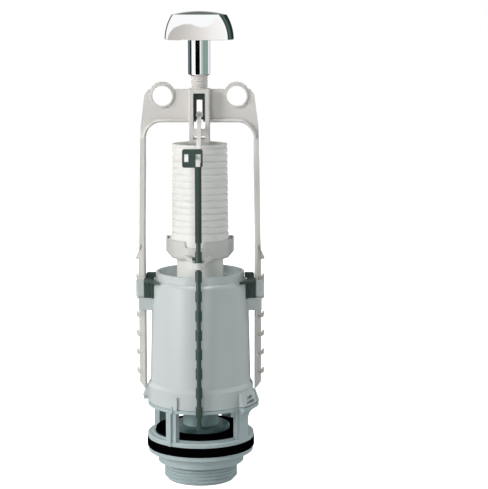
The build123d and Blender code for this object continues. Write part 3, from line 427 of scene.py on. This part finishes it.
def turnedPiece(name, profile, columns, crease):
    # Profile points (radius, height) carried once round the upright axis, from pole to pole,
    # with a sharp edge along the ring at the crease's height
    turn = np.linspace(0.0, 2.0 * math.pi, columns, endpoint=False)
    points = np.empty((len(profile), columns, 3))
    points[..., 0] = profile[:, :1] * np.cos(turn)
    points[..., 1] = profile[:, :1] * np.sin(turn)
    points[..., 2] = profile[:, 1:]
    thing = meshFromGrid(name, points, True, False)
    merged = bmesh.new()
    merged.from_mesh(thing.data)
    bmesh.ops.remove_doubles(merged, verts=merged.verts, dist=pointGap)
    merged.to_mesh(thing.data)
    merged.free()
    ends = np.empty(2 * len(thing.data.edges), int)
    thing.data.edges.foreach_get("vertices", ends)
    places = np.empty(3 * len(thing.data.vertices))
    thing.data.vertices.foreach_get("co", places)
    onCrease = np.abs(places.reshape(-1, 3)[:, 2] - crease) < pointGap
    sharp = thing.data.attributes.new("sharp_edge", "BOOLEAN", "EDGE")
    sharp.data.foreach_set("value", onCrease[ends.reshape(-1, 2)].all(axis=1))
    return thing


def knobProfile(shape, foot):
    # Side: a circle's arc that leaves the foot upright and draws in by d over the height h,
    # with radius (h^2 + d^2) / 2d. Dome: a parabola in the radius. Hollow: the side's arc, one
    # wall inwards, under a flat roof.
    wall, rows = shape["wall"], shape["rows"]
    bulge = (shape["sideHeight"] ** 2 + shape["draw"] ** 2) / (2 * shape["draw"])
    lip = shape["radius"] - shape["draw"]
    top = foot + shape["sideHeight"]
    rise = np.concatenate([
        shape["lowRows"][:-1],
        np.linspace(shape["lowRows"][-1], shape["sideHeight"], rows["side"]),
    ])
    side = np.stack([shape["radius"] - bulge + np.sqrt(bulge**2 - rise**2), foot + rise], axis=1)
    inward = lip * np.linspace(shape["domeStart"], 0.0, rows["dome"])
    dome = np.stack([inward, top + shape["dome"] * (1.0 - (inward / lip) ** 2)], axis=1)
    hollow = np.linspace(shape["sideHeight"] - shape["roof"] * wall, 0.0, rows["hollow"])
    inner = np.stack([
        side[0, 0] - wall - bulge + np.sqrt(bulge**2 - hollow**2),
        foot + hollow,
    ], axis=1)
    roof = np.array([[0.0, top - wall], [lip - shape["roof"] * wall, top - wall]])
    rim = np.array([
        [shape["radius"] - shape["footWidth"] * wall, foot],
        [shape["radius"] - shape["footRound"], foot],
        [shape["radius"] - shape["footBevel"], foot + shape["footBevel"]],
    ])
    return np.concatenate([roof, inner, rim, side, dome])


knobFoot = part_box("pull_knob")[0][2] - knobShape["drop"]
chromeKnob = turnedPiece(
    "chromeKnob",
    knobProfile(knobShape, knobFoot),
    knobShape["columns"],
    knobFoot + knobShape["sideHeight"],
)
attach(chromeKnob, "knob")
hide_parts("pull_knob")

# Sleeve nut: eight faces, each a little crowned, with softened corners and a coned lower end
sleeveShape = {
    "faces": 8,
    "corner": 0.0092,
    "turn": 6.6,  # degrees from the right-hand side to the first corner
    "crown": 0.0002,
    "soft": 0.0003,  # width of a softened corner
    "pull": 0.35,  # how far the corner's own point is pulled in, in softened widths
    "facePoints": 11,
    "faceInset": 0.02,  # from the softened corner to the face's first point, in half faces
    "foot": 0.0075,  # radius at the lower end
    "cone": 1.375,  # radius gained for each unit of height at the lower end
    "coneHeight": 0.0017,
    "coneRows": 12,
    "topRow": 0.0002,  # a close row under the top, which keeps its normals true
    "bore": 0.0072,
    "boreDepth": 0.0206,
    "shaftHole": 0.00325,
}


def sleeveSection(shape):
    # One ring of points. Each face's distance from the axis falls from its middle by the crown
    # times the square of the way to the corner, and the point on the corner is pulled in.
    halfTurn = math.pi / shape["faces"]
    apothem = shape["corner"] * math.cos(halfTurn)
    half = shape["corner"] * math.sin(halfTurn)
    flat = 1.0 - shape["soft"] / half
    faceEnd = flat - shape["faceInset"]
    along = half * np.concatenate([
        [-1.0, -flat],
        np.linspace(-faceEnd, faceEnd, shape["facePoints"]),
        [flat],
    ])
    out = apothem + shape["crown"] * (1.0 - (along / half) ** 2)
    out[0] -= shape["pull"] * shape["soft"]
    faceTurn = np.radians(shape["turn"]) + halfTurn * (1.0 + 2.0 * np.arange(shape["faces"])[:, None])
    x = out * np.cos(faceTurn) - along * np.sin(faceTurn)
    y = out * np.sin(faceTurn) + along * np.cos(faceTurn)
    return x.ravel(), y.ravel()


def sleeveGrid(shape, low, high):
    # Outer rows keep the section, held inside the cone near the foot; inner rows are circles
    x, y = sleeveSection(shape)
    reach = np.hypot(x, y)
    tall = high - low
    rise = np.concatenate([
        [tall, tall - shape["topRow"], 0.5 * tall],
        np.linspace(shape["coneHeight"], 0.0, shape["coneRows"]),
    ])[:, None]
    held = np.minimum(reach, shape["foot"] + shape["cone"] * rise) / reach
    outer = np.stack([x * held, y * held, np.broadcast_to(low + rise, held.shape)], axis=-1)
    inside = np.array([
        (shape["bore"], low),
        (shape["bore"], low + shape["boreDepth"]),
        (shape["shaftHole"], low + shape["boreDepth"]),
        (shape["shaftHole"], high),
    ])
    circles = np.stack([
        inside[:, :1] * x / reach,
        inside[:, :1] * y / reach,
        np.broadcast_to(inside[:, 1:], (len(inside), len(x))),
    ], axis=-1)
    return np.concatenate([outer, circles])[::-1]


sleeveLow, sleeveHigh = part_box("clamp_sleeve")
sleevePoints = sleeveGrid(sleeveShape, sleeveLow[2], sleeveHigh[2])
chromeSleeve = meshFromGrid("chromeSleeve", sleevePoints, True, True)
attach(chromeSleeve, "bridge")
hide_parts("clamp_sleeve")
print("chrome pieces made")

# What all moulded plastics share: noise scales for each metre, and sizes in metres
moulding = {
    "cloudScale": 38.0,
    "cloudShade": 0.06,  # how much darker the cloud's dark end is
    "smearScale": 160.0,
    "smearRange": (0.3, 0.7),  # of the noise, spread over the roughness below
    "roughSpread": 0.05,
    "grainScale": 2600.0,
    "grainHeight": 0.00012,
    "edgeRadius": 0.0003,
    "edgeSamples": 6,
    "specular": 0.5,
    "refraction": 1.49,
    "subsurface": 0.0,
    "scatter": (0.9, 1.0, 0.95),
    "scatterDepth": 0.0012,
}
plasticLooks = {
    "frame_plastic": {"color": (210, 207, 204), "roughness": 0.42, "grain": 0.16},
    "bell_plastic": {"color": (186, 193, 194), "roughness": 0.38, "grain": 0.14},
    "base_plastic": {"color": (168, 182, 185), "roughness": 0.36, "grain": 0.12},
    "white_plastic": {"color": (226, 226, 223), "roughness": 0.34, "grain": 0.08, "subsurface": 0.25},
    "collar_plastic": {"color": (197, 197, 195), "roughness": 0.4, "grain": 0.12},
    "dark_plastic": {"color": (50, 70, 64), "roughness": 0.34, "grain": 0.16},
    "grey_plastic": {"color": (146, 170, 172), "roughness": 0.4, "grain": 0.12},
    "disc_plastic": {"color": (82, 108, 111), "roughness": 0.42, "grain": 0.14},
    "core_plastic": {"color": (40, 42, 44), "roughness": 0.5, "grain": 0.18},
    "black_rubber": {"color": (3, 3, 4), "roughness": 0.5, "grain": 0.22, "specular": 0.0},
}


def mouldedPlastic(name, look):
    # Moulded plastic: cloudy colour, uneven gloss, a fine spark-eroded grain, and softened edges
    paint = bpy.data.materials.new(name)
    paint.use_nodes = True
    made = newNodes(paint.node_tree, {
        "place": "ShaderNodeTexCoord",
        "cloud": "ShaderNodeTexNoise",
        "tone": "ShaderNodeMix",
        "smear": "ShaderNodeTexNoise",
        "gloss": "ShaderNodeMapRange",
        "grain": "ShaderNodeTexNoise",
        "edge": "ShaderNodeBevel",
        "relief": "ShaderNodeBump",
        "skin": "ShaderNodeBsdfPrincipled",
        "out": "ShaderNodeOutputMaterial",
    })
    made["tone"].data_type = "RGBA"
    toneIn = [number for number, s in enumerate(made["tone"].inputs) if s.type == "RGBA"]
    toneOut = [number for number, s in enumerate(made["tone"].outputs) if s.type == "RGBA"]
    base = linear(look["color"])
    setInputs(made["tone"], {
        toneIn[0]: (*base * (1.0 - look["cloudShade"]), 1.0),
        toneIn[1]: (*base, 1.0),
    })
    for texture, detail in (("cloud", 4.0), ("smear", 3.0), ("grain", 2.0)):
        setInputs(made[texture], {"Scale": look[texture + "Scale"], "Detail": detail})
    setInputs(made["gloss"], {
        "From Min": look["smearRange"][0],
        "From Max": look["smearRange"][1],
        "To Min": look["roughness"] - look["roughSpread"],
        "To Max": look["roughness"] + look["roughSpread"],
    })
    made["edge"].samples = look["edgeSamples"]
    setInputs(made["edge"], {"Radius": look["edgeRadius"]})
    setInputs(made["relief"], {"Strength": look["grain"], "Distance": look["grainHeight"]})
    setInputs(made["skin"], {
        "Specular IOR Level": look["specular"],
        "IOR": look["refraction"],
        "Subsurface Weight": look["subsurface"],
        "Subsurface Radius": look["scatter"],
        "Subsurface Scale": look["scatterDepth"],
    })
    joinNodes(paint.node_tree, made, (
        ("place", "Object", "cloud", "Vector"),
        ("place", "Object", "smear", "Vector"),
        ("place", "Object", "grain", "Vector"),
        ("cloud", "Fac", "tone", "Factor"),
        ("tone", toneOut[0], "skin", "Base Color"),
        ("smear", "Fac", "gloss", "Value"),
        ("gloss", "Result", "skin", "Roughness"),
        ("grain", "Fac", "relief", "Height"),
        ("edge", "Normal", "relief", "Normal"),
        ("relief", "Normal", "skin", "Normal"),
        ("skin", 0, "out", "Surface"),
    ))
    return paint


# What both metals share, in the same units
plating = {
    "hazeScale": 120.0,
    "hazeRange": (0.6, 1.6),  # lowest and highest roughness, as shares of the given one
    "scratchScale": 1800.0,
    "scratchHeight": 0.00005,
}
metalLooks = {
    "bright_chrome": {
        "color": (249, 250, 251),
        "roughness": 0.028,
        "scratches": 0.002,
        "stretch": (1.0, 1.0, 0.1),
    },
    "shaft_steel": {
        "color": (178, 180, 182),
        "roughness": 0.24,
        "scratches": 0.1,
        "stretch": (1.0, 1.0, 0.02),
    },
}


def polishedMetal(name, look):
    # Plated or drawn metal: a clear mirror with faint haze patches and fine upright scratches
    paint = bpy.data.materials.new(name)
    paint.use_nodes = True
    made = newNodes(paint.node_tree, {
        "place": "ShaderNodeTexCoord",
        "stretch": "ShaderNodeMapping",
        "haze": "ShaderNodeTexNoise",
        "gloss": "ShaderNodeMapRange",
        "scratch": "ShaderNodeTexNoise",
        "relief": "ShaderNodeBump",
        "skin": "ShaderNodeBsdfPrincipled",
        "out": "ShaderNodeOutputMaterial",
    })
    setInputs(made["stretch"], {"Scale": look["stretch"]})
    setInputs(made["haze"], {"Scale": look["hazeScale"]})
    setInputs(made["gloss"], {
        "To Min": look["roughness"] * look["hazeRange"][0],
        "To Max": look["roughness"] * look["hazeRange"][1],
    })
    setInputs(made["scratch"], {"Scale": look["scratchScale"]})
    setInputs(made["relief"], {"Strength": look["scratches"], "Distance": look["scratchHeight"]})
    setInputs(made["skin"], {"Metallic": 1.0, "Base Color": (*linear(look["color"]), 1.0)})
    joinNodes(paint.node_tree, made, (
        ("place", "Object", "stretch", "Vector"),
        ("stretch", "Vector", "scratch", "Vector"),
        ("place", "Object", "haze", "Vector"),
        ("haze", "Fac", "gloss", "Value"),
        ("gloss", "Result", "skin", "Roughness"),
        ("scratch", "Fac", "relief", "Height"),
        ("relief", "Normal", "skin", "Normal"),
        ("skin", 0, "out", "Surface"),
    ))
    return paint


# Each part gets the finish that the record's material slot names
finishes = {slot: mouldedPlastic(slot, {**moulding, **look}) for slot, look in plasticLooks.items()}
for slot, look in metalLooks.items():
    finishes[slot] = polishedMetal(slot, {**plating, **look})
for part in frame["record"]["subparts"]:
    node = cadNodes[part["node"]]
    finish = finishes[part["material_slot"]]
    for materialSlot in node.material_slots:
        materialSlot.material = finish
    if not node.material_slots:
        node.data.materials.append(finish)
for thing in (chromeKnob, chromeSleeve):
    thing.data.materials.append(finishes["bright_chrome"])
